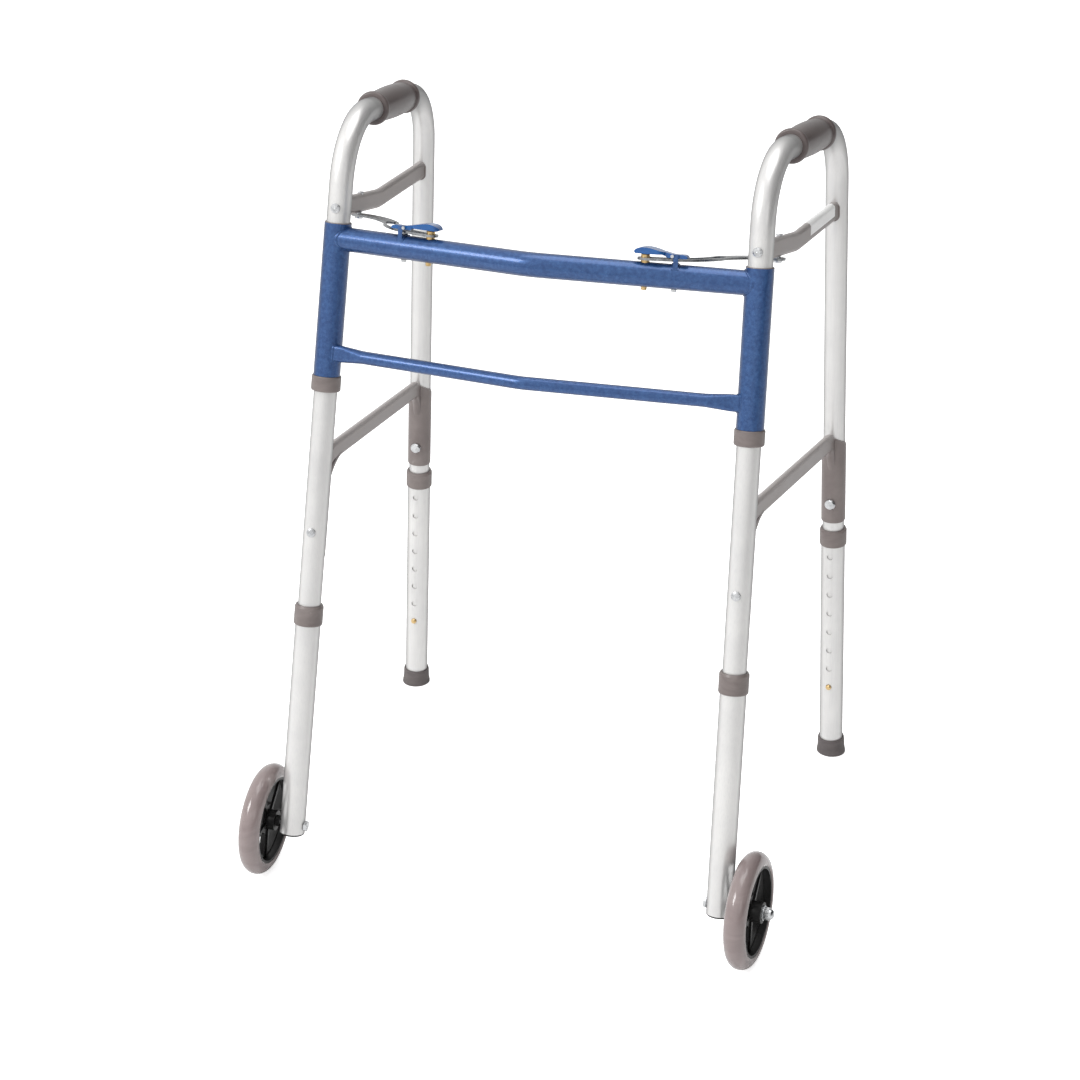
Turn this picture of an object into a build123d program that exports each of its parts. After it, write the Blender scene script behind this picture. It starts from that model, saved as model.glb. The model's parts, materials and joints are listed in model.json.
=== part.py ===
"""Folding walking frame with two front wheels, in millimetres.

Axes: +Z up, the front of the frame faces -Y, the user's right hand is at +X.
Origin: on the floor, midway between the two sides and midway between front and back.
Everything on the right-hand side is built first and mirrored to make the left-hand side.
"""

from build123d import *
import os
from math import atan2, cos, degrees, radians, sin, tan

os.makedirs("parts", exist_ok=True)

# Side frame: one tube bent to an upside-down U that stands almost upright.
HALF_WIDTH_REAR = 277.5
REAR_FOOT_Y = 250.46
TOE_IN_DEG = 3.3
LEAN_IN_DEG = 2.5
LEG_SPREAD = 468.0
FRONT_RAKE_DEG = 12.5
REAR_RAKE_DEG = 1.0
HANDLE_SLOPE_DEG = 7.5
HANDLE_CORNER = 853.0
BEND_RADIUS = 72.0
TUBE_R = 12.7
TUBE_WALL = 1.6
FIT = 0.05

# Sliding lower legs, as heights along the leg from the floor, with their height holes.
LOWER_R = 14.1
LOWER_BORE_R = 12.78
HOLE_PITCH = 25.4
HOLE_COUNT = 8
HOLE_R = 3.6
FRONT_BUTTON = 112.0
REAR_BUTTON = 97.2
BUTTON_R = 3.4
FRONT_LOWER = (54.5, 316.0)
REAR_LOWER = (5.0, 302.0)
FRONT_COLLAR = (301.0, 323.5)
REAR_COLLAR = (287.5, 308.5)
COLLAR_R = 16.0
TIP_TOP = 20.9

# Hinge sleeves and cross tubes, as heights along the front leg.
SLEEVE = (580.6, 744.4)
SLEEVE_R = 14.5
SLEEVE_BORE_R = 13.25
PIVOT_COLLAR = (564.0, 580.4)
TOP_TUBE_AT = 728.0
LOW_TUBE_AT = 606.5
LOW_TUBE_R = 7.0
LOW_TUBE_TALL = 18.0
LOW_TUBE_THIN = 8.0
BOW = 45.0
LOW_TUBE_AHEAD = 5.5
WELD = 1.0

# Fold latch. "In" is towards the middle, "ahead" is forward, both from the front leg axis.
STUD_AT = (-3.7, -64.9)
PIN_AT = (113.0, 22.3)
STRIP = (746.2, 748.7)
STRIP_WIDTH = 16.4
SLOT_WIDTH = 10.2
FOLD_RANGE_DEG = 80.0
STRIP_TURN = 0.039
PIN_R = 4.5
PIN_TOP = 752.4
PADDLE_AXIS_IN = 84.0
BRACKET_ALONG = 84.6
PADDLE_AXIS_AT = 751.8

# Braces, as heights along the legs.
BRACE_TALL = 21.0
BRACE_WIDE = 9.5
BRACE_WALL = 1.6
UPPER_BRACE_FRONT = 760.5
UPPER_BRACE_REAR = 702.0
LOWER_BRACE_FRONT = 487.0
LOWER_BRACE_REAR = 424.0
LOWER_RIVET = 407.5
LOWER_BOLT = 345.0

# Wheels, measured outwards from the leg axis along the axle.
AXLE_AT = 63.6
AXLE_R = 4.0
NUT_AT = 49.6
WHEEL_OUT = 32.5
TYRE_R = 63.5
TYRE_SECTION_R = 12.0
RIM_R = 49.5
SPOKES = 5


def written(name, *shapes):
    """Write the solids of one node to its own file."""
    solids = [solid for shape in shapes for solid in shape.solids()]
    if len(solids) == 1:
        export_step(solids[0], f"parts/{name}.step")
    else:
        export_step(Compound(children=solids), f"parts/{name}.step")


def written_both(name, *shapes):
    """Write a right-hand node and its mirror image on the left."""
    written(f"{name}_right", *shapes)
    written(f"{name}_left", *[mirror(shape, about=Plane.YZ) for shape in shapes])


def written_pair(name, *shapes):
    """Write one node that holds the right-hand solids and their mirror images."""
    written(name, *shapes, *[mirror(shape, about=Plane.YZ) for shape in shapes])


def rod(plane, radius, low, high, at=(0, 0)):
    """A round bar along the plane's normal."""
    bar = Cylinder(radius, high - low, align=(Align.CENTER, Align.CENTER, Align.MIN))
    return plane * Pos(at[0], at[1], low) * bar


def ring(plane, outer, inner, low, high, at=(0, 0)):
    return rod(plane, outer, low, high, at) - rod(plane, inner, low - 1, high + 1, at)


def turned(plane, *profile):
    """A solid turned about the plane's normal from (radius, height) points."""
    face = make_face(Polyline(*[(r, 0, z) for r, z in profile], close=True))
    return plane * revolve(face, Axis.Z)


# Side frame plane on the right: x forward, y up, z towards the middle.
outward = Vector(1, -tan(radians(TOE_IN_DEG)), tan(radians(LEAN_IN_DEG))).normalized()
forward = Vector(-tan(radians(TOE_IN_DEG)), -1, 0).normalized()
SIDE = Plane((HALF_WIDTH_REAR, REAR_FOOT_Y, 0), x_dir=forward, z_dir=outward * -1)
front_up = (-sin(radians(FRONT_RAKE_DEG)), cos(radians(FRONT_RAKE_DEG)))
rear_up = (sin(radians(REAR_RAKE_DEG)), cos(radians(REAR_RAKE_DEG)))


def side_point(point):
    return SIDE.from_local_coords(Vector(point[0], point[1], 0))


def on_front(height, ahead=0.0):
    """Side plane point at a height along the front leg, a distance ahead of its axis."""
    x = LEG_SPREAD + front_up[0] * height + front_up[1] * ahead
    y = front_up[1] * height - front_up[0] * ahead
    return (x, y)


def on_rear(height, ahead=0.0):
    """Side plane point at a height along the rear leg, a distance ahead of its axis."""
    x = rear_up[0] * height + rear_up[1] * ahead
    y = rear_up[1] * height - rear_up[0] * ahead
    return (x, y)


front_axis = side_point(on_front(1)) - side_point(on_front(0))
rear_axis = side_point(on_rear(1)) - side_point(on_rear(0))
# Leg planes: x towards the middle, y forward, z up the leg.
FRONT_LEG = Plane(side_point(on_front(0)), x_dir=SIDE.z_dir, z_dir=front_axis)
REAR_LEG = Plane(side_point(on_rear(0)), x_dir=SIDE.z_dir, z_dir=rear_axis)
# Latch plane: the front leg's, turned so that x runs straight across the frame.
straight_in = Vector(-1, 0, 0)
across = straight_in - front_axis * straight_in.dot(front_axis)
LATCH = Plane(FRONT_LEG.origin, x_dir=across, z_dir=front_axis)
AXLE = Plane(side_point(on_front(AXLE_AT)), x_dir=front_axis, z_dir=outward)


def through_leg(leg, height):
    """Plane on the leg axis whose normal points forward through the leg."""
    return Plane(leg.from_local_coords(Vector(0, 0, height)), x_dir=leg.x_dir, z_dir=leg.y_dir)


# Side tube -------------------------------------------------------------------
corner_front = on_front(HANDLE_CORNER)
slope = tan(radians(HANDLE_SLOPE_DEG))
lean = rear_up[0] / rear_up[1]
corner_rear_up = (corner_front[1] - slope * corner_front[0]) / (1 - slope * lean)
corner_rear = (lean * corner_rear_up, corner_rear_up)

u_path = SIDE * FilletPolyline(
    on_front(FRONT_BUTTON - 24),
    corner_front,
    corner_rear,
    on_rear(REAR_BUTTON - 24),
    radius=BEND_RADIUS,
)
u_start = Plane(u_path @ 0, z_dir=u_path % 0)
side_tube = sweep(u_start * Circle(TUBE_R), path=u_path)
side_tube -= sweep(u_start * Circle(TUBE_R - TUBE_WALL), path=u_path)
rivet_r = 2.4
for height in (UPPER_BRACE_FRONT, LOWER_RIVET):
    side_tube -= rod(through_leg(FRONT_LEG, height), rivet_r + FIT, -20, 20)
for height in (UPPER_BRACE_REAR, LOWER_BOLT):
    side_tube -= rod(through_leg(REAR_LEG, height), rivet_r + FIT, -20, 20)
side_tube -= rod(through_leg(FRONT_LEG, FRONT_BUTTON), BUTTON_R + FIT, -20, 0)
side_tube -= rod(through_leg(REAR_LEG, REAR_BUTTON), BUTTON_R + FIT, 0, 20)
written_both("side_tube", side_tube)

# Hand grip -------------------------------------------------------------------
handle_line = side_point(corner_rear) - side_point(corner_front)
HANDLE = Plane(side_point(corner_front), x_dir=SIDE.z_dir, z_dir=handle_line)
grip_body = Spline((15.9, 92.5), (17.0, 112), (17.9, 145), (17.2, 176), (16.4, 189.5))
front_bead = Spline((17.6, 91.0), (18.3, 87.5), (17.2, 84.6), (15.2, 84.0))
rear_bead = Spline((18.0, 191.0), (18.8, 194.5), (17.6, 197.5), (15.2, 198.0))
grip_bore = Polyline(
    (15.2, 198.0), (TUBE_R + FIT, 198.0), (TUBE_R + FIT, 84.0), (15.2, 84.0)
)
grip_edges = [
    grip_body,
    Line((15.9, 92.5), (17.6, 91.0)),
    front_bead,
    Line((16.4, 189.5), (18.0, 191.0)),
    rear_bead,
    grip_bore,
]
hand_grip = HANDLE * revolve(Plane.XZ * make_face(grip_edges), Axis.Z)
written_both("hand_grip", hand_grip)


# Braces ----------------------------------------------------------------------
def oval_bar(points, tall, wide, radius):
    """A flat-sided oval bar along a bent line in the side plane."""
    if radius:
        path = SIDE * FilletPolyline(*points, radius=radius)
    else:
        path = SIDE * Polyline(*points)
    start = Plane(path @ 0, x_dir=SIDE.z_dir, z_dir=path % 0)
    return sweep(start * RectangleRounded(wide, tall, wide * 0.49), path=path)


def flare(leg, height, end, small, large):
    """The end of a brace as it widens towards the leg; end is in the side plane."""
    base = leg.from_local_coords(Vector(0, 0, height))
    run = base - side_point(end)
    narrow = Plane(side_point(end), x_dir=leg.x_dir, z_dir=run)
    broad = Plane(base - run.normalized() * 6, x_dir=leg.x_dir, z_dir=run)
    first = narrow * RectangleRounded(small[0], small[1], small[0] * 0.49)
    last = broad * RectangleRounded(large[0], large[1], large[0] * 0.4)
    tongue = extrude(last, 10)
    return loft([first, last]) + tongue


def saddle(leg, direction, low, high, corner, width=30.0):
    """A curved flange that hugs the front (+1) or the back (-1) of a leg."""
    shell = ring(leg, TUBE_R + FIT + 1.8, TUBE_R + FIT, low, high)
    middle = through_leg(leg, (low + high) / 2)
    outline = RectangleRounded(width, high - low, corner)
    block = extrude(middle * outline, 30 * direction)
    return shell & block


def fitted_to_leg(solid, leg, height, direction):
    """Cut the end of a brace to the round of the leg it meets."""
    solid -= rod(leg, TUBE_R + FIT + 0.03, height - 130, height + 60)
    return solid - leg * Pos(0, -30 * direction, height - 30) * Box(60, 60, 220)


def between(start, end, distance):
    """Point at a distance from start on the way to end."""
    angle = atan2(end[1] - start[1], end[0] - start[0])
    return (start[0] + distance * cos(angle), start[1] + distance * sin(angle))


FLARE = 26.0
upper_bend = on_front(UPPER_BRACE_FRONT, ahead=-128)
upper_front = on_front(UPPER_BRACE_FRONT, ahead=-FLARE)
upper_rear_axis = on_rear(UPPER_BRACE_REAR)
upper_rear = between(upper_rear_axis, upper_bend, FLARE)
upper_line = (upper_front, upper_bend, upper_rear)
void_wide = BRACE_WIDE - 2 * BRACE_WALL
void_tall = BRACE_TALL - 2 * BRACE_WALL
upper_brace = oval_bar(upper_line, BRACE_TALL, BRACE_WIDE, 110)
upper_void = oval_bar(upper_line, void_tall, void_wide, 110)
for leg, height, end in (
    (FRONT_LEG, UPPER_BRACE_FRONT, upper_front),
    (REAR_LEG, UPPER_BRACE_REAR, upper_rear),
):
    upper_brace += flare(leg, height, end, (BRACE_WIDE, BRACE_TALL), (12.0, BRACE_TALL - 1.0))
    upper_void += flare(leg, height, end, (void_wide, void_tall), (8.8, BRACE_TALL - 5.0))
upper_brace -= upper_void
upper_brace += saddle(FRONT_LEG, -1, UPPER_BRACE_FRONT - 10.5, UPPER_BRACE_FRONT + 10.5, 3, width=13.0)
upper_brace += saddle(REAR_LEG, 1, UPPER_BRACE_REAR - 10.5, UPPER_BRACE_REAR + 10.5, 6, width=13.0)
upper_brace = fitted_to_leg(upper_brace, FRONT_LEG, UPPER_BRACE_FRONT, -1)
upper_brace = fitted_to_leg(upper_brace, REAR_LEG, UPPER_BRACE_REAR, 1)
stud_hole = rod(LATCH, 3.1, STRIP[0], UPPER_BRACE_FRONT + 30, STUD_AT)
upper_brace -= stud_hole
upper_brace -= rod(through_leg(FRONT_LEG, UPPER_BRACE_FRONT), rivet_r + FIT, -17, 0)
upper_brace -= rod(through_leg(REAR_LEG, UPPER_BRACE_REAR), rivet_r + FIT, 0, 17)
written_both("upper_brace", upper_brace)

# The lower brace bends down at both ends and runs on as a flange along each leg.
lower_front_axis = on_front(LOWER_BRACE_FRONT)
lower_rear_axis = on_rear(LOWER_BRACE_REAR)
lower_line = (
    on_front(LOWER_RIVET + 24, ahead=-1),
    between(lower_front_axis, lower_rear_axis, 19),
    between(lower_rear_axis, lower_front_axis, 15),
    on_rear(LOWER_BOLT + 34, ahead=1),
)
lower_brace = oval_bar(lower_line, BRACE_TALL, BRACE_WIDE, 27)
web_path = SIDE * ThreePointArc(
    on_front(485, ahead=-56), on_front(468, ahead=-27.5), on_front(430, ahead=-14.5)
)
web_start = Plane(web_path @ 0, x_dir=SIDE.z_dir, z_dir=web_path % 0)
lower_brace += sweep(web_start * RectangleRounded(10.5, 3.6, 1.2), path=web_path)
lower_brace += saddle(FRONT_LEG, -1, 371, LOWER_BRACE_FRONT + 1, 9, width=21.0)
lower_brace += saddle(REAR_LEG, 1, 345, LOWER_BRACE_REAR + 5, 14.9)
lower_brace += saddle(REAR_LEG, 1, 320, 400, 3)
lower_brace = fitted_to_leg(lower_brace, FRONT_LEG, LOWER_BRACE_FRONT, -1)
lower_brace = fitted_to_leg(lower_brace, REAR_LEG, LOWER_BRACE_REAR, 1)
lower_void = (
    between(lower_front_axis, lower_rear_axis, 46),
    between(lower_rear_axis, lower_front_axis, 46),
)
lower_brace -= oval_bar(lower_void, void_tall, void_wide, 0)
lower_brace -= rod(through_leg(FRONT_LEG, LOWER_RIVET), rivet_r + FIT, -20, 0)
lower_brace -= rod(through_leg(REAR_LEG, LOWER_BOLT), rivet_r + FIT, 0, 20)
written_both("lower_brace", lower_brace)

# Label: a thin blank sticker over the top and outer face of the right upper brace.
label_start = between(upper_rear_axis, upper_bend, 27)
label_end = between(upper_rear_axis, upper_bend, 125)
label = oval_bar((label_start, label_end), BRACE_TALL + 0.5, BRACE_WIDE + 0.5, 0)
label -= oval_bar((label_start, label_end), BRACE_TALL + 0.06, BRACE_WIDE + 0.06, 0)
label_run = side_point(label_end) - side_point(label_start)
label_plane = Plane(side_point(label_start), x_dir=label_run, z_dir=SIDE.z_dir)
label &= label_plane * Pos(49, 12, -7) * Box(112, 30, 20)
written("label_right", label)


# Rivets and bolts ------------------------------------------------------------
def rivet(leg, height, direction, tail):
    """A rivet through a leg: domed head on one side, flat tail on the other."""
    plane = through_leg(leg, height)
    start = TUBE_R + FIT
    if direction < 0:
        plane = Plane(plane.origin, x_dir=plane.x_dir, z_dir=plane.z_dir * -1)
    return turned(
        plane,
        (0, -tail - 1.6), (3.6, -tail - 1.6), (3.6, -tail), (rivet_r, -tail),
        (rivet_r, start), (5.2, start), (4.9, start + 1.1), (3.4, start + 2.1), (0, start + 2.5),
    )


saddle_out = TUBE_R + 2 * FIT + 1.8
written_both(
    "brace_rivets",
    rivet(FRONT_LEG, UPPER_BRACE_FRONT, 1, saddle_out),
    rivet(FRONT_LEG, LOWER_RIVET, 1, saddle_out),
    rivet(REAR_LEG, UPPER_BRACE_REAR, -1, saddle_out),
)
bolt_plane = through_leg(REAR_LEG, LOWER_BOLT)
brace_bolt = turned(
    bolt_plane,
    (0, -19.0), (rivet_r, -19.0), (rivet_r, saddle_out), (6.2, saddle_out),
    (6.2, saddle_out + 2.6), (5.2, saddle_out + 4.0), (0, saddle_out + 4.6),
)
brace_nut = bolt_plane * Pos(0, 0, -17.0) * extrude(RegularPolygon(5.0, 6), 4.2)
brace_nut -= rod(bolt_plane, rivet_r + FIT, -20, 0)
written_both("brace_bolt", brace_bolt, brace_nut)

latch_stud = turned(
    LATCH * Pos(STUD_AT[0], STUD_AT[1], 0),
    (0, STRIP[0] - 2.6), (4.4, STRIP[0] - 2.6), (4.8, STRIP[0] - 0.1), (3.0, STRIP[0] - 0.1),
    (3.0, 771.9), (3.9, 771.9), (3.5, 772.7), (0, 772.8),
)
written_both("latch_stud", latch_stud)

# Hinge -----------------------------------------------------------------------
pivot_collar = turned(
    FRONT_LEG,
    (TUBE_R + FIT, PIVOT_COLLAR[0]), (15.2, PIVOT_COLLAR[0]), (COLLAR_R, PIVOT_COLLAR[0] + 1.2),
    (COLLAR_R, PIVOT_COLLAR[1] - 1.0), (15.4, PIVOT_COLLAR[1]), (TUBE_R + FIT, PIVOT_COLLAR[1]),
)
written_both("pivot_collar", pivot_collar)

sleeve = ring(FRONT_LEG, SLEEVE_R, SLEEVE_BORE_R, *SLEEVE)
bush_bore = TUBE_R + 0.06
bush_top = turned(
    FRONT_LEG,
    (bush_bore, SLEEVE[1] - 16), (SLEEVE_BORE_R - 0.03, SLEEVE[1] - 16),
    (SLEEVE_BORE_R - 0.03, SLEEVE[1] + 0.03), (SLEEVE_R, SLEEVE[1] + 0.03),
    (SLEEVE_R - 0.2, SLEEVE[1] + 0.7), (bush_bore, SLEEVE[1] + 0.7),
)
bush_low = ring(FRONT_LEG, SLEEVE_BORE_R - 0.03, bush_bore, SLEEVE[0], SLEEVE[0] + 16)
written_pair("hinge_sleeves", sleeve)
written_pair("hinge_bushes", bush_top, bush_low)

# Cross tubes: bowed forward in a plane square to the front legs ----------------
lift = (front_axis - Vector(front_axis.X, 0, 0)).normalized()
bow_direction = Vector(0, -lift.Z, lift.Y)


def bowed_line(height, radius, inset=0.0, ahead=0.0):
    """Line from leg to leg at one height along the legs, bowed forward in the middle."""
    right = FRONT_LEG.from_local_coords(Vector(0, 0, height))
    middle = Vector(0, right.Y, right.Z) + bow_direction * BOW
    right += bow_direction * ahead
    start = right + (middle - right).normalized() * inset
    left = Vector(-start.X, start.Y, start.Z)
    return FilletPolyline(start, middle, left, radius=radius)


def piped(path, radius):
    return sweep(Plane(path @ 0, z_dir=path % 0) * Circle(radius), path=path)


def leg_bars(radius, height, reach):
    bar = rod(FRONT_LEG, radius, height - reach, height + reach)
    return bar + mirror(bar, about=Plane.YZ)


top_path = bowed_line(TOP_TUBE_AT, 70)
top_bar = piped(top_path, TUBE_R)
cross_tube_top = top_bar - piped(top_path, TUBE_R - TUBE_WALL)
cross_tube_top -= leg_bars(SLEEVE_R + FIT, TOP_TUBE_AT, 40)
pin_line = LATCH * Pos(PIN_AT[0], PIN_AT[1], 0)
top_leg_point = FRONT_LEG.from_local_coords(Vector(0, 0, TOP_TUBE_AT))
top_run = (top_path @ 0.1 - top_leg_point).normalized()
# On the tube's axis where the paddle is held: x along the tube, y forward, z up.
HOLD = Plane(top_leg_point + top_run * BRACKET_ALONG, x_dir=top_run, z_dir=lift)
pin_holes = (
    rod(LATCH, PIN_R + 0.1, TOP_TUBE_AT, TOP_TUBE_AT + 25, PIN_AT)
    + rod(LATCH, 3.1, TOP_TUBE_AT - 20, TOP_TUBE_AT, PIN_AT)
    + rod(HOLD, 1.8 + FIT, -20, 20)
)
cross_tube_top -= pin_holes + mirror(pin_holes, about=Plane.YZ)
written("cross_tube_top", cross_tube_top)

END_FLAT = 20.0
END_ROUND = 46.0
low_path = bowed_line(LOW_TUBE_AT, 38, inset=END_ROUND, ahead=LOW_TUBE_AHEAD)
cross_tube_lower = piped(low_path, LOW_TUBE_R) - piped(low_path, LOW_TUBE_R - 1.2)
low_leg_point = FRONT_LEG.from_local_coords(Vector(0, 0, LOW_TUBE_AT)) + bow_direction * LOW_TUBE_AHEAD
low_run = (low_path @ 0 - low_leg_point).normalized()


def low_section(distance, wide, tall, corner):
    plane = Plane(low_leg_point + low_run * distance, x_dir=low_run.cross(front_axis), z_dir=low_run)
    return plane * RectangleRounded(wide, tall, corner)


def low_end(grow):
    flat = low_section(END_FLAT, LOW_TUBE_THIN + 2 * grow, LOW_TUBE_TALL + 2 * grow, 3.9 + grow)
    side = 2 * (LOW_TUBE_R + grow)
    round_ = low_section(END_ROUND, side, side, side * 0.499)
    stub = extrude(flat, -14)
    return loft([flat, round_]) + stub


low_end_right = low_end(0) - low_end(-1.2)
cross_tube_lower += low_end_right + mirror(low_end_right, about=Plane.YZ)
cross_tube_lower -= leg_bars(SLEEVE_R + FIT, LOW_TUBE_AT, 40)
written("cross_tube_lower", cross_tube_lower)

weld_reach = rod(FRONT_LEG, SLEEVE_R + WELD, LOW_TUBE_AT - 22, TOP_TUBE_AT + 16)
weld_core = rod(FRONT_LEG, SLEEVE_R + 0.02, LOW_TUBE_AT - 40, TOP_TUBE_AT + 40)
top_half = FRONT_LEG * Pos(10, 0, TOP_TUBE_AT) * Box(60, 80, 60)
low_half = FRONT_LEG * Pos(16, 0, LOW_TUBE_AT) * Box(30, 60, 60)
top_weld = piped(top_path, TUBE_R + WELD) & weld_reach & top_half
top_weld -= piped(top_path, TUBE_R + 0.02) + weld_core
low_weld = low_end(WELD) & weld_reach & low_half
low_weld -= low_end(0.02) + weld_core
written_pair("weld_beads", top_weld, low_weld)

# Fold latch ------------------------------------------------------------------


def spun(point, angle_deg):
    c = cos(radians(angle_deg))
    s = sin(radians(angle_deg))
    return (point[0] * c - point[1] * s, point[0] * s + point[1] * c)


def pin_in_strip(fold_deg):
    """Where the lock pin stands in the strip when the side is folded by an angle."""
    stud = spun(STUD_AT, fold_deg)
    seen = spun((PIN_AT[0] - stud[0], PIN_AT[1] - stud[1]), -STRIP_TURN * fold_deg)
    return (STUD_AT[0] + seen[0], STUD_AT[1] + seen[1])


def ribbon(points, width):
    """A flat band of constant width with round ends along a smooth line."""
    line = Spline(*points)
    steps = [i / 12 for i in range(13)]
    left = []
    right = []
    for step in steps:
        spot = line @ step
        way = line % step
        left.append((spot.X - way.Y * width / 2, spot.Y + way.X * width / 2))
        right.append((spot.X + way.Y * width / 2, spot.Y - way.X * width / 2))
    tip_start = line @ 0 - (line % 0) * (width / 2)
    tip_end = line @ 1 + (line % 1) * (width / 2)
    edges = [
        Spline(*left),
        ThreePointArc(left[-1], (tip_end.X, tip_end.Y), right[-1]),
        Spline(*reversed(right)),
        ThreePointArc(right[0], (tip_start.X, tip_start.Y), left[0]),
    ]
    return make_face(edges)


slot_points = [pin_in_strip(step * FOLD_RANGE_DEG / 8) for step in range(8, -1, -1)]
strip_points = [STUD_AT, (22.0, -58.0), (40.0, -42.0)] + slot_points
STRIP_BASE = LATCH.offset(STRIP[0])
strip_face = ribbon(strip_points, STRIP_WIDTH) - ribbon(slot_points, SLOT_WIDTH)
strip_face -= Pos(*STUD_AT) * Circle(3.06)
link_strip = extrude(STRIP_BASE * strip_face, STRIP[1] - STRIP[0])
written_both("link_strip", link_strip)

lock_pin = turned(
    pin_line,
    (0, 715.6), (2.4, 715.6), (3.0, 716.3), (3.0, 737.5), (PIN_R, 737.5),
    (PIN_R, PIN_TOP - 0.9), (3.2, PIN_TOP), (0, PIN_TOP),
)
written_both("lock_pin", lock_pin)

spring_path = Helix(pitch=2.7, height=12.2, radius=3.95)
spring_start = Plane(spring_path @ 0, z_dir=spring_path % 0)
coil = sweep(spring_start * Circle(0.4), path=spring_path, is_frenet=True)
lock_spring = pin_line * Pos(0, 0, TOP_TUBE_AT - 6.6) * coil
written_pair("lock_springs", lock_spring)

# Paddle bracket: lies on the cross tube and rises in front of the strip.
along_tube = Plane(HOLD.origin, x_dir=HOLD.z_dir, z_dir=HOLD.x_dir)
bracket = ring(along_tube, TUBE_R + 1.0, TUBE_R + FIT, -6, 6)
bracket &= HOLD * Pos(0, 3.5, 12) * Box(8, 14, 20)
wall = HOLD * Pos(0, 9.8, 15.3) * Box(5, 1.2, 16.2)
bracket += wall - rod(along_tube, TUBE_R + FIT, -9, 9)
paddle_axis = LATCH.from_local_coords(Vector(PADDLE_AXIS_IN, 0, PADDLE_AXIS_AT))
PADDLE_PIN = Plane(paddle_axis, x_dir=LATCH.z_dir, z_dir=LATCH.y_dir)
bracket -= rod(HOLD, 1.8 + FIT, 0, 20) + rod(PADDLE_PIN, 1.2 + 0.02, 10, 40)
written_pair("paddle_brackets", bracket)

bracket_rivet = turned(
    HOLD,
    (0, -15.2), (2.6, -15.2), (3.0, -TUBE_R - 0.1), (1.8, -TUBE_R - 0.1), (1.8, TUBE_R + 1.05),
    (3.0, TUBE_R + 1.05), (2.6, TUBE_R + 1.9), (0, TUBE_R + 2.1),
)
written_pair("bracket_rivets", bracket_rivet)

paddle_pin = rod(PADDLE_PIN, 1.2, 14.6, 27.4) + rod(PADDLE_PIN, 1.7, 27.4, 28.0)
written_pair("paddle_pins", paddle_pin)

paddle_bottom = Polyline(
    (69.0, 751.0), (69.6, 749.7), (90.0, 749.7), (94.0, 752.8), (122.0, 752.8), (124.4, 754.4)
)
paddle_top = Spline(
    (124.4, 754.4), (120.0, 757.8), (110.0, 759.2), (97.0, 756.6), (88.0, 754.4), (80.0, 753.4),
    (70.0, 752.2), (69.0, 751.0),
)
paddle_centre = LATCH.from_local_coords(Vector(0, PIN_AT[1], 0))
PADDLE_SIDE = Plane(paddle_centre, x_dir=LATCH.x_dir, z_dir=LATCH.y_dir * -1)
paddle_block = extrude(PADDLE_SIDE * make_face([paddle_bottom, paddle_top]), 12, both=True)
plan = Pos(108.5, PIN_AT[1]) * RectangleRounded(33, 18, 8.4)
plan += Pos(82, 19.2) * RectangleRounded(28, 10.0, 3)
paddle = paddle_block & extrude(LATCH.offset(740) * plan, 30)
paddle -= rod(PADDLE_PIN, 1.26, 0, 40)
written_both("paddle", paddle)

# Snap buttons ----------------------------------------------------------------


def snap_button(leg, height, direction):
    """The button with the springy arm it is riveted to, inside the leg."""
    spot = through_leg(leg, height)
    if direction < 0:
        spot = Plane(spot.origin, x_dir=spot.x_dir * -1, z_dir=spot.z_dir * -1)
    button = turned(spot, (0, 9.0), (2.6, 9.0), (BUTTON_R, 10.2), (BUTTON_R, 15.4), (2.4, 17.0), (0, 17.4))
    arm = spot * Pos(0, -12, 10.1) * Box(6, 50, 0.8)
    bend = spot * Pos(0, -37.4, 0) * Rot(Y=90)
    spring = Cylinder(10.5, 6) - Cylinder(9.7, 8)
    spring &= Pos(0, -10, 0) * Box(40, 20, 20)
    spring += Pos(10.1, 25, 0) * Box(0.8, 50, 6)
    return button + arm, bend * spring


front_button, front_spring = snap_button(FRONT_LEG, FRONT_BUTTON, -1)
rear_button, rear_spring = snap_button(REAR_LEG, REAR_BUTTON, 1)
written_both("snap_button_front", front_button)
written_both("snap_button_rear", rear_button)
written_both("button_springs", front_spring, rear_spring)


# Sliding lower legs ----------------------------------------------------------
def lower_leg(leg, ends, first_hole, direction):
    tube = ring(leg, LOWER_R, LOWER_BORE_R, *ends)
    for count in range(HOLE_COUNT):
        spot = through_leg(leg, first_hole + count * HOLE_PITCH)
        tube -= rod(spot, HOLE_R, min(0, 20 * direction), max(0, 20 * direction))
    return tube


def leg_collar(leg, ends, tube_top):
    low, high = ends
    return turned(
        leg,
        (LOWER_R + FIT, low), (COLLAR_R - 0.5, low), (COLLAR_R, low + 1), (COLLAR_R, high - 2.5),
        (COLLAR_R - 1.2, high), (LOWER_BORE_R, high), (LOWER_BORE_R, tube_top + FIT),
        (LOWER_R + FIT, tube_top + FIT),
    )


front_lower = lower_leg(FRONT_LEG, FRONT_LOWER, FRONT_BUTTON, -1)
front_lower -= rod(AXLE, AXLE_R + FIT, -20, 20)
written_both("lower_leg_front", front_lower)
written_both("lower_leg_rear", lower_leg(REAR_LEG, REAR_LOWER, REAR_BUTTON, 1))
written_both("leg_collar_front", leg_collar(FRONT_LEG, FRONT_COLLAR, FRONT_LOWER[1]))
written_both("leg_collar_rear", leg_collar(REAR_LEG, REAR_COLLAR, REAR_LOWER[1]))

end_plug = turned(
    FRONT_LEG,
    (0, 52.5), (13.2, 52.5), (LOWER_R - 0.1, 53.3), (LOWER_R - 0.1, 54.45),
    (LOWER_BORE_R - FIT, 54.45), (LOWER_BORE_R - FIT, 58.8), (11.0, 58.8), (11.0, 56.0), (0, 56.0),
)
written_both("end_plug", end_plug)

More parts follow.
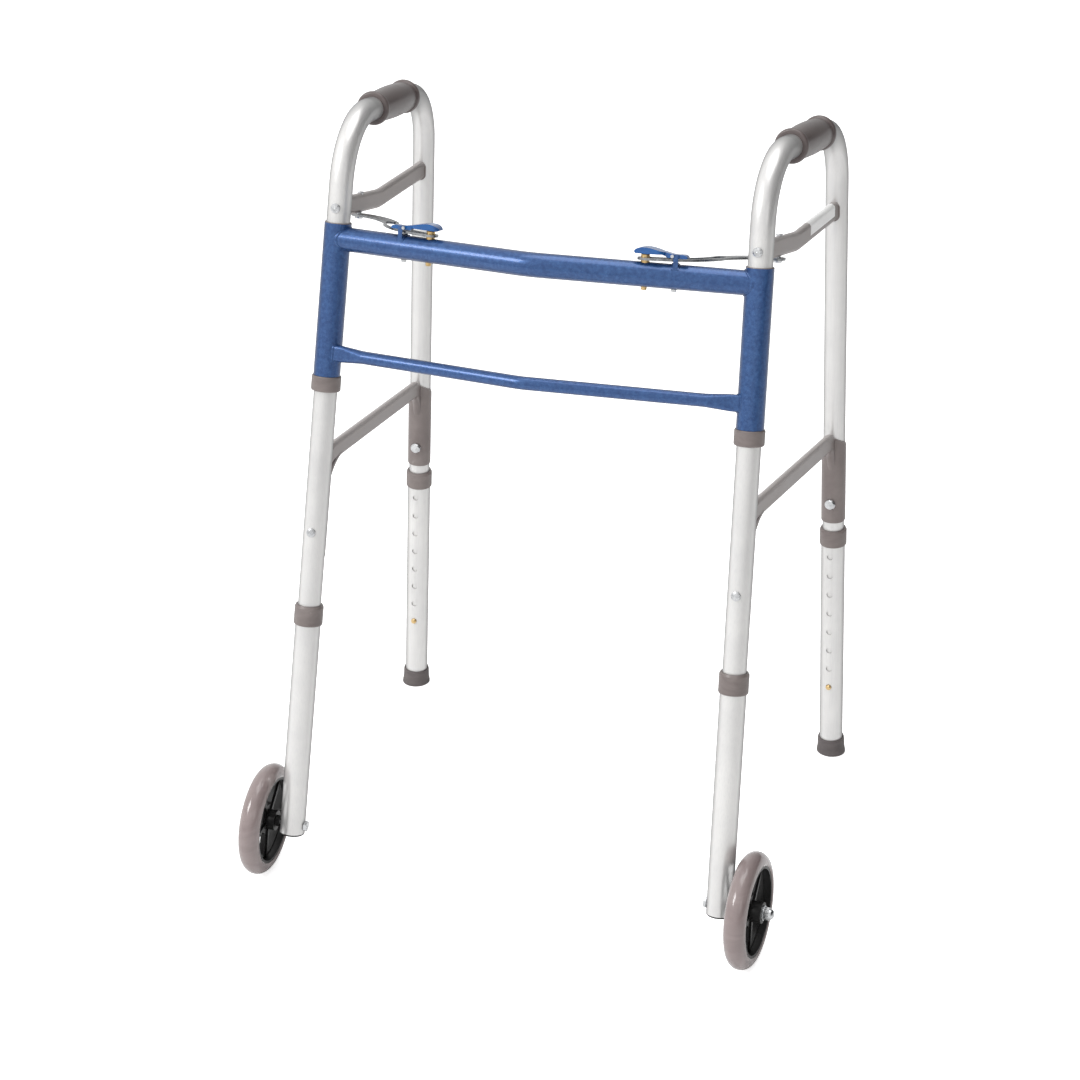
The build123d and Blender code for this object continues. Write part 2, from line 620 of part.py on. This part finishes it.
tip_inside = LOWER_R + FIT
rubber_tip = turned(
    REAR_LEG,
    (0, -3.0), (17.8, -3.0), (17.6, 2.0), (16.6, 7.5), (16.3, 18.8), (15.7, TIP_TOP),
    (tip_inside, TIP_TOP), (tip_inside, REAR_LOWER[0] - FIT), (0, REAR_LOWER[0] - FIT),
)
rubber_tip &= Pos(HALF_WIDTH_REAR, REAR_FOOT_Y, 50) * Box(120, 120, 100)
written_both("rubber_tip", rubber_tip)

# Axle and wheel --------------------------------------------------------------
head_at = -LOWER_R - FIT
axle_bolt = rod(AXLE, AXLE_R, head_at - 1, NUT_AT + 6.5)
axle_bolt += AXLE * Pos(0, 0, head_at - 3.2) * extrude(RegularPolygon(6.2, 6), 3.2)
written_both("axle_bolt", axle_bolt)

spacer = ring(AXLE, 6.5, AXLE_R + FIT, LOWER_R + 0.1, 19.0)
written_both("wheel_spacer", spacer)

washer = ring(AXLE, 8.2, AXLE_R + FIT, NUT_AT - 1.35, NUT_AT - 0.05)
nut = AXLE * Pos(0, 0, NUT_AT) * extrude(RegularPolygon(7.6, 6), 5.6)
nut += AXLE.offset(NUT_AT) * turned(
    Plane.XY, (0, 5.5), (6.0, 5.5), (5.6, 8.0), (3.8, 10.0), (0, 10.8)
)
nut -= rod(AXLE, AXLE_R + FIT, NUT_AT - 2, NUT_AT + 6.6)
written_both("axle_nut", washer, nut)

WHEEL = AXLE.offset(WHEEL_OUT)
tyre_centre_r = TYRE_R - TYRE_SECTION_R
seat = 11.2
tyre_edges = [
    Line((RIM_R + 0.03, -seat), (tyre_centre_r, -TYRE_SECTION_R)),
    ThreePointArc((tyre_centre_r, -TYRE_SECTION_R), (TYRE_R, 0), (tyre_centre_r, TYRE_SECTION_R)),
    Polyline((tyre_centre_r, TYRE_SECTION_R), (RIM_R + 0.03, seat), (RIM_R + 0.03, -seat)),
]
tyre = WHEEL * revolve(Plane.XZ * make_face(tyre_edges), Axis.Z)
written_both("tyre", tyre)

boss = 11.5
hub_half = 13.4
hub = ring(WHEEL, RIM_R, RIM_R - 3.0, -10.8, 10.8)
hub += rod(WHEEL, RIM_R - 2.0, -2.5, 2.5)
hub += rod(WHEEL, boss, -hub_half, hub_half + 2.2)
window_edges = [
    Line((17.0, -6.5), (40.3, -20.3)),
    ThreePointArc((40.3, -20.3), (45.1, 0), (40.3, 20.3)),
    Polyline((40.3, 20.3), (17.0, 6.5), (17.0, -6.5)),
]
window = make_face(window_edges)
window = fillet(window.vertices(), 3.0)
for count in range(SPOKES):
    hub -= WHEEL * Rot(Z=count * 360 / SPOKES) * Pos(0, 0, -4) * extrude(window, 8)
    rib = Pos((boss + RIM_R) / 2 - 1.5, 0, 0) * Box(RIM_R - boss - 2, 4.0, 9)
    hub += WHEEL * Rot(Z=(count + 0.5) * 360 / SPOKES) * rib
hub -= rod(WHEEL, AXLE_R + 0.06, -20, 20)
written_both("wheel_hub", hub)
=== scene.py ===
import json
import math

import bmesh
import bpy
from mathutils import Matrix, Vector

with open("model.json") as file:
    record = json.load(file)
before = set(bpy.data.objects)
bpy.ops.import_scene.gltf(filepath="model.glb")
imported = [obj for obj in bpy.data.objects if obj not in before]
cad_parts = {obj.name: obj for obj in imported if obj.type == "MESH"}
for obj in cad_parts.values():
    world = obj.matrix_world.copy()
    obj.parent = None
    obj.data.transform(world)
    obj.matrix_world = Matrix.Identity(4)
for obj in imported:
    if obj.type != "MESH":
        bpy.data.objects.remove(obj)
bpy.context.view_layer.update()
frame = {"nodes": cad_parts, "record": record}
nodes = frame["nodes"]

SMOOTH_ANGLE_DEG = 38
WHITE = (1.0, 1.0, 1.0, 1.0)

# The camera's place in metres, its right-hand direction, and its sensor and lens in millimetres.
CAMERA_AT = Vector((0.6972, -2.14834, 1.4614))
CAMERA_TARGET = Vector((-0.0285, 0.02046, 0.3497))
CAMERA_RIGHT = (0.948, 0.317, 0.0)
CAMERA_SENSOR = 36.0
CAMERA_LENS = 74.85

# The sky dims from bright on the camera's left to dim on its right. It does so between these two
# cosines of the angle to CAMERA_RIGHT.
SKY_FROM, SKY_TO = -0.1, 0.7
SKY_BRIGHT, SKY_DIM = 0.95, 0.04

# The floor lies just under the wheels and the rubber tips, so that it doesn't cut them.
FLOOR_HALF = 14
FLOOR_CELLS = 24
FLOOR_DROP = 0.0006
FLOOR_GLOW = 0.7

# Area lights: name, place, aimed at, size in metres, power in watts.
LIGHTS = (
    ("key", (-2.2, -2.4, 3.0), (0, 0, 0.45), 1.4, 62),
    ("fill", (2.6, -2.2, 1.8), (0, 0, 0.4), 1.4, 5),
    ("top", (0.2, 0.4, 3.4), (0, 0, 0.3), 2.2, 34),
)


# --- building materials ----------------------------------------------------------
def linear(r, g, b):
    """An sRGB colour, 0 to 255, as the linear colour Blender wants."""
    out = []
    for value in (r, g, b):
        c = value / 255
        out.append(c / 12.92 if c <= 0.04045 else ((c + 0.055) / 1.055) ** 2.4)
    return (*out, 1.0)


class Nodes:
    """Builds one material's node tree. Patterns are in metres, on the object's own coordinates."""

    SOCKETS = {
        "base": "Base Color",
        "metal": "Metallic",
        "rough": "Roughness",
        "spec": "Specular IOR Level",
        "normal": "Normal",
        "coat": "Coat Weight",
        "coat_rough": "Coat Roughness",
        "coat_normal": "Coat Normal",
        "glow": "Emission Color",
        "glow_strength": "Emission Strength",
    }

    def __init__(self, name):
        self.material = bpy.data.materials.new(name)
        self.material.use_nodes = True
        self.tree = self.material.node_tree
        self.shader = self.tree.nodes["Principled BSDF"]
        self.coordinates = self.add("ShaderNodeTexCoord").outputs["Object"]

    def add(self, kind, **values):
        node = self.tree.nodes.new(kind)
        for key, value in values.items():
            setattr(node, key, value)
        return node

    def feed(self, socket, value):
        """Sets a socket to a plain value, or links another node's output to it."""
        if isinstance(value, (int, float, tuple)):
            socket.default_value = value
        else:
            self.tree.links.new(value, socket)

    def set(self, **values):
        for key, value in values.items():
            self.feed(self.shader.inputs[self.SOCKETS[key]], value)

    def noise(self, scale, detail, rough, stretch=(1, 1, 1), distortion=0.0):
        """Soft noise, 0 to 1. A small stretch draws it out along that axis."""
        mapping = self.add("ShaderNodeMapping")
        self.feed(mapping.inputs["Vector"], self.coordinates)
        self.feed(mapping.inputs["Scale"], stretch)
        node = self.add("ShaderNodeTexNoise")
        self.feed(node.inputs["Vector"], mapping.outputs["Vector"])
        self.feed(node.inputs["Scale"], scale)
        self.feed(node.inputs["Detail"], detail)
        self.feed(node.inputs["Roughness"], rough)
        self.feed(node.inputs["Distortion"], distortion)
        return node.outputs["Fac"]

    def cells(self, scale):
        """Distance from the middle of smooth rounded cells."""
        node = self.add("ShaderNodeTexVoronoi", feature="SMOOTH_F1")
        self.feed(node.inputs["Vector"], self.coordinates)
        self.feed(node.inputs["Scale"], scale)
        return node.outputs["Distance"]

    def ramp(self, value, low, high, out_low=0.0, out_high=1.0):
        """Runs from out_low to out_high as the value goes from low to high."""
        node = self.add("ShaderNodeMapRange")
        self.feed(node.inputs["Value"], value)
        self.feed(node.inputs["From Min"], low)
        self.feed(node.inputs["From Max"], high)
        self.feed(node.inputs["To Min"], out_low)
        self.feed(node.inputs["To Max"], out_high)
        return node.outputs["Result"]

    def edge(self, low, high):
        """0 where a surface faces the viewer, rising to 1 where it turns away."""
        node = self.add("ShaderNodeLayerWeight")
        self.feed(node.inputs["Blend"], 0.5)
        return self.ramp(node.outputs["Facing"], low, high)

    def scratches(self, stretch, scale, low, high):
        """Thin marks: 1 on a mark, 0 elsewhere."""
        marks = self.noise(scale, detail=2, rough=0.5, stretch=stretch, distortion=0.4)
        return self.ramp(marks, low, high)

    def maths(self, operation, a, b):
        node = self.add("ShaderNodeMath", operation=operation)
        self.feed(node.inputs[0], a)
        self.feed(node.inputs[1], b)
        return node.outputs[0]

    def times(self, a, b):
        return self.maths("MULTIPLY", a, b)

    def plus(self, a, b):
        return self.maths("ADD", a, b)

    def mix(self, share, a, b):
        """Colour a where the share is 0, colour b where it is 1."""
        node = self.add("ShaderNodeMix", data_type="RGBA")
        factor, colour_a, colour_b = (node.inputs[i] for i in (0, 6, 7))
        self.feed(factor, share)
        self.feed(colour_a, a)
        self.feed(colour_b, b)
        return node.outputs[2]

    def bump(self, height, strength, distance, under=None):
        """A bumped normal, on top of the one under it if there is one."""
        node = self.add("ShaderNodeBump")
        self.feed(node.inputs["Strength"], strength)
        self.feed(node.inputs["Distance"], distance)
        self.feed(node.inputs["Height"], height)
        if under is not None:
            self.feed(node.inputs["Normal"], under)
        return node.outputs["Normal"]


# --- the materials ---------------------------------------------------------------
def silver_tube():
    """Satin anodised aluminium: faint lines up the legs, soft blotches, light scuffs, and painted
    dark shade where the surface turns away from the view.
    """
    n = Nodes("silver_tube")
    blotch = n.noise(scale=14, detail=4, rough=0.6)
    lines = n.noise(scale=60, detail=3, rough=0.6, stretch=(14, 14, 0.5))
    scuff = n.scratches(stretch=(5, 5, 1), scale=60, low=0.66, high=0.80)
    # Painted shade: this mask is 1 where the surface turns away from the view. It stands in for dark
    # reflections at the tube's edges.
    painted_edge_shade = n.edge(0.40, 0.92)
    base = n.mix(n.ramp(blotch, 0.3, 0.7), linear(218, 217, 216), linear(230, 229, 227))
    base = n.mix(n.times(n.ramp(lines, 0.45, 0.75), 0.22), base, linear(196, 196, 198))
    base = n.mix(n.times(scuff, 0.10), base, linear(180, 180, 182))
    # Painted shade: the edges that turn away from the view are darkened towards a near black grey.
    base = n.mix(n.times(painted_edge_shade, 0.85), base, linear(52, 52, 56))
    rough = n.plus(n.ramp(blotch, 0.3, 0.7, 0.28, 0.38), n.times(scuff, 0.04))
    n.set(base=base, rough=rough, normal=n.bump(lines, 0.03, 0.0001))
    n.set(metal=n.ramp(painted_edge_shade, 0.0, 1.0, 0.5, 0.15), spec=n.ramp(painted_edge_shade, 0.0, 1.0, 0.45, 0.05))
    return n.material


def blue_paint():
    """Hammered metallic blue: dimpled skin, paler flakes and a few dark pits under a clear coat,
    with painted dark shade at the edges.
    """
    n = Nodes("blue_paint")
    cell = n.cells(420)
    patch = n.noise(scale=250, detail=4, rough=0.6)
    flake = n.noise(scale=1500, detail=2, rough=0.7)
    broad = n.noise(scale=9, detail=3, rough=0.5)
    pit = n.ramp(n.noise(scale=95, detail=5, rough=0.7), 0.775, 0.79)
    base = n.mix(n.ramp(patch, 0.36, 0.66), linear(42, 76, 128), linear(60, 98, 152))
    base = n.mix(n.times(n.ramp(flake, 0.60, 0.72), 0.35), base, linear(120, 160, 208))
    base = n.mix(n.times(n.ramp(cell, 0.05, 0.55), 0.25), base, linear(34, 64, 112))
    base = n.mix(n.times(n.ramp(broad, 0.35, 0.7), 0.12), base, linear(40, 64, 126))
    base = n.mix(n.times(pit, 0.6), base, linear(24, 34, 70))
    # Painted shade: darker blue where the surface turns away from the view.
    base = n.mix(n.times(n.edge(0.35, 0.95), 0.8), base, linear(12, 24, 58))
    dimples = n.bump(patch, 0.14, 0.0004, n.bump(cell, 0.20, 0.0005))
    n.set(base=base, metal=0.45, rough=n.ramp(patch, 0.3, 0.7, 0.28, 0.40), normal=dimples)
    n.set(coat=0.4, coat_rough=0.10, coat_normal=n.bump(patch, 0.12, 0.0004))
    return n.material


def grey_paint():
    """Satin taupe paint on the braces: faint orange peel, rubbed marks, and painted light that makes
    faces pointing up paler.
    """
    n = Nodes("grey_paint")
    peel = n.noise(scale=420, detail=2, rough=0.5)
    broad = n.noise(scale=22, detail=4, rough=0.6)
    rub = n.scratches(stretch=(1, 4, 1), scale=70, low=0.70, high=0.78)
    facing = n.add("ShaderNodeSeparateXYZ")
    n.feed(facing.inputs["Vector"], n.add("ShaderNodeNewGeometry").outputs["Normal"])
    # Painted light: the share of paler colour on faces that point up, as if lit from above.
    painted_top_light = n.ramp(facing.outputs["Z"], 0.15, 0.6)
    base = n.mix(n.ramp(broad, 0.3, 0.7), linear(114, 104, 102), linear(134, 125, 122))
    base = n.mix(n.times(rub, 0.4), base, linear(168, 161, 160))
    # Painted light: faces that point up are mixed towards a pale grey.
    base = n.mix(n.times(painted_top_light, 0.65), base, linear(190, 184, 182))
    rough = n.plus(n.ramp(broad, 0.3, 0.7, 0.28, 0.40), n.times(rub, 0.15))
    n.set(base=base, metal=0.15, rough=rough, spec=0.5, normal=n.bump(peel, 0.10, 0.0003))
    n.set(coat=0.15, coat_rough=0.25)
    return n.material


# The last argument sets how strong the painted edge shade is.
def moulded(name, low, high, scuffed, rough, grain, grain_strength, coat, painted_edge_shade=0.45):
    """Moulded plastic or rubber: fine grain, flow marks, paler and duller scuffs, and painted dark
    shade where the surface turns away from the view.
    """
    n = Nodes(name)
    fine = n.noise(scale=grain, detail=3, rough=0.65)
    flow = n.noise(scale=26, detail=4, rough=0.6, stretch=(1, 1, 2.5), distortion=0.6)
    scuff = n.scratches(stretch=(1, 1, 3), scale=110, low=0.70, high=0.76)
    # The colour of the painted edge shade: the low colour at 0.22 of its strength.
    dark = (*(c * 0.22 for c in low[:3]), 1.0)
    base = n.mix(n.ramp(flow, 0.3, 0.7), low, high)
    base = n.mix(n.times(scuff, 0.35), base, scuffed)
    # Painted shade: darker where the surface turns away from the view.
    base = n.mix(n.times(n.edge(0.5, 1.0), painted_edge_shade), base, dark)
    dulled = n.plus(n.ramp(flow, 0.3, 0.7, *rough), n.times(scuff, 0.12))
    normal = n.bump(scuff, 0.1, 0.0001, n.bump(fine, grain_strength, 0.0002))
    n.set(base=base, metal=0.0, rough=dulled, spec=0.45, normal=normal, coat=coat, coat_rough=0.12)
    return n.material


def metal(name, low, high, rough, marks_stretch=(1, 1, 1), marks_scale=600):
    """Plated or turned metal: fine machining marks and tarnish patches."""
    n = Nodes(name)
    marks = n.noise(scale=marks_scale, detail=2, rough=0.5, stretch=marks_stretch)
    patch = n.noise(scale=130, detail=4, rough=0.65)
    base = n.mix(n.ramp(patch, 0.32, 0.68), low, high)
    uneven = n.plus(n.ramp(patch, 0.3, 0.7, *rough), n.ramp(marks, 0.3, 0.7, -0.03, 0.05))
    n.set(base=base, metal=1.0, rough=uneven, normal=n.bump(marks, 0.10, 0.0001))
    return n.material


def label_vinyl():
    """Blank white vinyl label, a little uneven, with tiny lifted wrinkles."""
    n = Nodes("label_white")
    fibre = n.noise(scale=800, detail=3, rough=0.6)
    wave = n.noise(scale=60, detail=2, rough=0.5, stretch=(1, 1, 3))
    base = n.mix(n.ramp(wave, 0.3, 0.7), linear(246, 246, 245), linear(253, 253, 252))
    normal = n.bump(fibre, 0.05, 0.0001, n.bump(wave, 0.15, 0.0006))
    n.set(base=base, rough=n.ramp(fibre, 0.3, 0.7, 0.34, 0.46), spec=0.4, normal=normal)
    return n.material


materials = {
    "silver_tube": silver_tube(),
    "blue_paint": blue_paint(),
    "grey_paint": grey_paint(),
    "label_white": label_vinyl(),
    "grey_plastic": moulded(
        "grey_plastic", low=linear(112, 102, 100), high=linear(134, 125, 122),
        scuffed=linear(156, 148, 145), rough=(0.34, 0.48), grain=1000, grain_strength=0.15, coat=0.1,
    ),
    "grip_grey": moulded(
        "grip_grey", low=linear(90, 81, 80), high=linear(106, 97, 95),
        scuffed=linear(134, 126, 123), rough=(0.30, 0.42), grain=700, grain_strength=0.22, coat=0.12,
    ),
    "tip_rubber": moulded(
        "tip_rubber", low=linear(84, 78, 78), high=linear(106, 99, 98),
        scuffed=linear(126, 120, 118), rough=(0.48, 0.62), grain=800, grain_strength=0.25, coat=0.0,
    ),
    "tyre_grey": moulded(
        "tyre_grey", low=linear(136, 122, 121), high=linear(148, 135, 133),
        scuffed=linear(146, 136, 133), rough=(0.12, 0.19), grain=500, grain_strength=0.04, coat=0.5,
        # A weaker painted edge shade.
        painted_edge_shade=0.3,
    ),
    "black_plastic": moulded(
        "black_plastic", low=linear(10, 9, 9), high=linear(18, 17, 17),
        scuffed=linear(40, 38, 38), rough=(0.34, 0.46), grain=700, grain_strength=0.10, coat=0.05,
    ),
    "blue_plastic": moulded(
        "blue_plastic", low=linear(4, 74, 140), high=linear(14, 92, 160),
        scuffed=linear(90, 150, 205), rough=(0.18, 0.28), grain=500, grain_strength=0.04, coat=0.6,
        # A weaker painted edge shade.
        painted_edge_shade=0.3,
    ),
    "brass": metal(
        "brass", low=linear(208, 172, 112), high=linear(236, 208, 156), rough=(0.26, 0.40)
    ),
    "zinc": metal(
        "zinc", low=linear(186, 188, 190), high=linear(222, 223, 224), rough=(0.2, 0.34)
    ),
    "spring_steel": metal(
        "spring_steel", low=linear(120, 122, 124), high=linear(176, 178, 180), rough=(0.24, 0.36),
        marks_stretch=(1, 6, 1), marks_scale=300,
    ),
}


# --- the CAD parts ---------------------------------------------------------------
def finish_part(obj, material):
    """Gives a part its material, and smooth shading between its sharp edges."""
    mesh = obj.data
    mesh.materials.clear()
    mesh.materials.append(material)
    mesh.polygons.foreach_set("use_smooth", [True] * len(mesh.polygons))
    mesh.set_sharp_from_angle(angle=math.radians(SMOOTH_ANGLE_DEG))


slot_of = {part["node"]: part["material_slot"] for part in frame["record"]["subparts"]}
for name, obj in nodes.items():
    finish_part(obj, materials[slot_of[name]])


# --- floor, sky, lights, camera --------------------------------------------------
def put(name, data, location):
    """A new object in the scene, at a place."""
    obj = bpy.data.objects.new(name, data)
    bpy.context.scene.collection.objects.link(obj)
    obj.location = location
    return obj


def floor_material():
    """Plain white. Its glow is for the camera alone, so it looks as white as the sky behind."""
    n = Nodes("studio_floor")
    shade = n.ramp(n.noise(scale=3, detail=3, rough=0.5), 0.3, 0.7)
    seen = n.add("ShaderNodeLightPath").outputs["Is Camera Ray"]
    n.set(base=n.mix(shade, linear(251, 251, 251), linear(253, 253, 253)), rough=0.8, spec=0.1)
    n.set(glow=WHITE, glow_strength=n.times(seen, FLOOR_GLOW))
    return n.material


def floor():
    grid = bmesh.new()
    bmesh.ops.create_grid(grid, x_segments=FLOOR_CELLS, y_segments=FLOOR_CELLS, size=FLOOR_HALF)
    mesh = bpy.data.meshes.new("studio_floor")
    grid.to_mesh(mesh)
    grid.free()
    mesh.materials.append(floor_material())
    put("studio_floor", mesh, (0, 0, -FLOOR_DROP))


def sky():
    """White to the camera. As light, it is bright at the camera's left and dim at its right."""
    world = bpy.data.worlds.new("studio_world")
    bpy.context.scene.world = world
    world.use_nodes = True
    tree = world.node_tree
    background = tree.nodes["Background"]
    background.inputs["Color"].default_value = WHITE

    sideways = tree.nodes.new("ShaderNodeVectorMath")
    sideways.operation = "DOT_PRODUCT"
    sideways.inputs[1].default_value = CAMERA_RIGHT
    direction = tree.nodes.new("ShaderNodeTexCoord").outputs["Generated"]
    tree.links.new(direction, sideways.inputs[0])

    dimming = tree.nodes.new("ShaderNodeMapRange")
    ends = {"From Min": SKY_FROM, "From Max": SKY_TO, "To Min": SKY_BRIGHT, "To Max": SKY_DIM}
    for socket, value in ends.items():
        dimming.inputs[socket].default_value = value
    tree.links.new(sideways.outputs["Value"], dimming.inputs["Value"])

    backdrop = tree.nodes.new("ShaderNodeMix")
    seen, as_light, to_camera = (backdrop.inputs[i] for i in (0, 2, 3))
    tree.links.new(tree.nodes.new("ShaderNodeLightPath").outputs["Is Camera Ray"], seen)
    tree.links.new(dimming.outputs["Result"], as_light)
    to_camera.default_value = 1.0
    tree.links.new(backdrop.outputs[0], background.inputs["Strength"])


def area_light(name, location, target, size, power):
    light = bpy.data.lights.new(name, "AREA")
    light.energy = power
    light.size = size
    way = Vector(target) - Vector(location)
    put(name, light, location).rotation_euler = way.to_track_quat("-Z", "Y").to_euler()


def camera():
    data = bpy.data.cameras.new("camera")
    data.sensor_width = CAMERA_SENSOR
    data.lens = CAMERA_LENS
    obj = put("camera", data, CAMERA_AT)
    obj.rotation_mode = "QUATERNION"
    obj.rotation_quaternion = (CAMERA_TARGET - CAMERA_AT).to_track_quat("-Z", "Y")
    bpy.context.scene.camera = obj


floor()
sky()
for light in LIGHTS:
    area_light(*light)
camera()
bpy.context.scene.view_settings.view_transform = "Standard"
